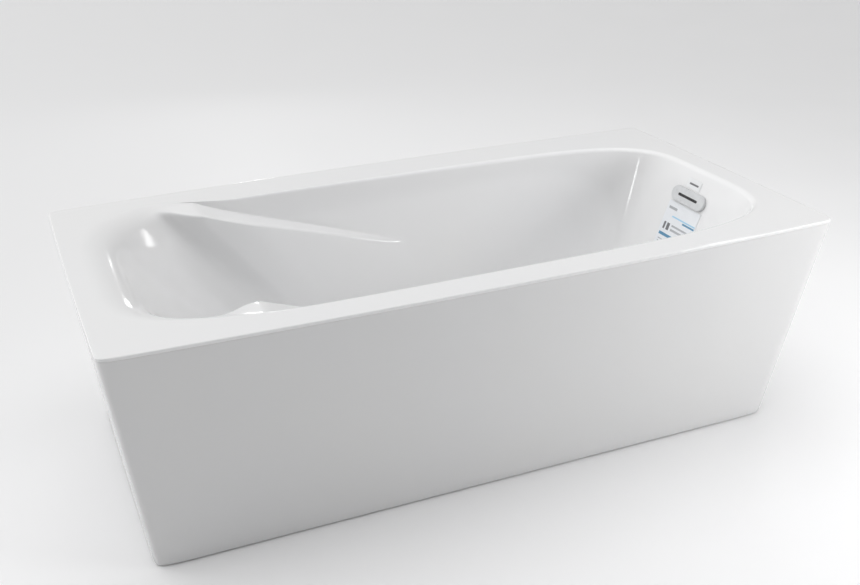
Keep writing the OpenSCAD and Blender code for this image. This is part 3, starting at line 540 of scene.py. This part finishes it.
# ---------------------------------------------------------------- stage, light and camera
REACH = 40
floor_mesh = bpy.data.meshes.new("floor")
floor_corners = [(x * REACH, y * REACH, 0) for x, y in ((-1, -1), (1, -1), (1, 1), (-1, 1))]
floor_mesh.from_pydata(floor_corners, [], [(0, 1, 2, 3)])
floor = new_object("floor", floor_mesh)
floor_mat, floor_tree, floor_bsdf = material("floor_white", (0.88, 0.88, 0.885), 0.5)
floor_tree.links.new(spread(floor_tree, noise(floor_tree, 3), 0.45, 0.6), floor_bsdf.inputs["Roughness"])
floor_mesh.materials.append(floor_mat)

world = bpy.data.worlds.new("studio")
world.use_nodes = True
bpy.context.scene.world = world


def add_lobe(tree, total, direction, power, strength):
    """Add a soft glow around a direction of the sky to the running total."""
    coord = tree.nodes.new("ShaderNodeTexCoord")
    dot = tree.nodes.new("ShaderNodeVectorMath")
    dot.operation = "DOT_PRODUCT"
    dot.inputs[1].default_value = Vector(direction).normalized()
    tree.links.new(coord.outputs["Generated"], dot.inputs[0])
    value = dot.outputs["Value"]
    for operation, number in (("MAXIMUM", 0), ("POWER", power), ("MULTIPLY", strength)):
        node = tree.nodes.new("ShaderNodeMath")
        node.operation = operation
        node.inputs[1].default_value = number
        tree.links.new(value, node.inputs[0])
        value = node.outputs[0]
    if total is None:
        return value
    node = tree.nodes.new("ShaderNodeMath")
    tree.links.new(total, node.inputs[0])
    tree.links.new(value, node.inputs[1])
    return node.outputs[0]


glow = None
for direction, power, strength in (
    ((0, 0, 1), 4, 1.10),
    ((-1, 0.3, 1), 3, 1.15),
    ((-1, 1, 0.2), 4, 0.80),
    ((0, 1, 0.3), 4, 0.50),
):
    glow = add_lobe(world.node_tree, glow, direction, power, strength)
world.node_tree.links.new(glow, world.node_tree.nodes["Background"].inputs["Strength"])
world.node_tree.nodes["Background"].inputs["Color"].default_value = (1.0, 1.0, 1.0, 1)


def softbox(name, place, target, size, power, along=(0, 0, 1), spread_deg=180):
    """A rectangular light facing the target, with its second side along a direction."""
    data = bpy.data.lights.new(name, "AREA")
    data.shape = "RECTANGLE"
    data.size, data.size_y = size
    data.energy = power
    data.spread = math.radians(spread_deg)
    lamp = new_object(name, data)
    back = (Vector(place) - Vector(target)).normalized()
    side = Vector(along).cross(back).normalized()
    turn = Matrix((side, back.cross(side), back)).transposed().to_4x4()
    lamp.matrix_world = Matrix.Translation(place) @ turn


softbox("key_right", (3.2, -1.4, 1.6), (0.6, 0, 0.3), (1.6, 1.6), 11)
softbox("side_right", (2.2, -1.9, 1.0), (0.75, -0.4, 0.4), (1.0, 1.0), 8.5, spread_deg=90)
softbox("top", (0.3, 0, 3.2), (0.2, 0, 0), (2.0, 2.0), 9, (0, 1, 0))
softbox("backrest_strip", (2.22, 0.85, 2.18), (-0.64, 0.26, 0.49), (0.11, 1.5), 5,
        (-0.03, 0.87, -0.48))
softbox("shoulder_patch", (0.41, 3.5, 1.12), (-0.79, -0.18, 0.57), (0.22, 0.34), 2)
softbox("corner_window", (-2.5, -1.65, 1.8), (0.76, 0.21, 0.5), (0.2, 0.4), 3)

# Camera at the photograph's viewing angle: place in metres, angles in degrees, lens and sensor in mm
CAM_PLACE = Vector((-1.0222, -2.2684, 1.5489))
CAM_YAW, CAM_PITCH, CAM_ROLL = (math.radians(a) for a in (-21.076, -25.573, -1.205))
CAM_LENS, CAM_SENSOR, CAM_SHIFT = 43.959, 36, (0.0609, 0.0026)
cam_data = bpy.data.cameras.new("camera")
cam_data.lens = CAM_LENS
cam_data.sensor_width = CAM_SENSOR
cam_data.shift_x, cam_data.shift_y = CAM_SHIFT
camera = new_object("camera", cam_data)
right = Vector((math.cos(CAM_YAW), math.sin(CAM_YAW), 0))
ahead = Vector((-math.sin(CAM_YAW), math.cos(CAM_YAW), 0)) * math.cos(CAM_PITCH)
ahead.z = math.sin(CAM_PITCH)
up = right.cross(ahead)
right2 = math.cos(CAM_ROLL) * right + math.sin(CAM_ROLL) * up
up2 = -math.sin(CAM_ROLL) * right + math.cos(CAM_ROLL) * up
cam_turn = Matrix((right2, up2, -ahead)).transposed().to_4x4()
camera.matrix_world = Matrix.Translation(CAM_PLACE) @ cam_turn
bpy.context.scene.camera = camera
bpy.context.scene.view_settings.view_transform = "Standard"
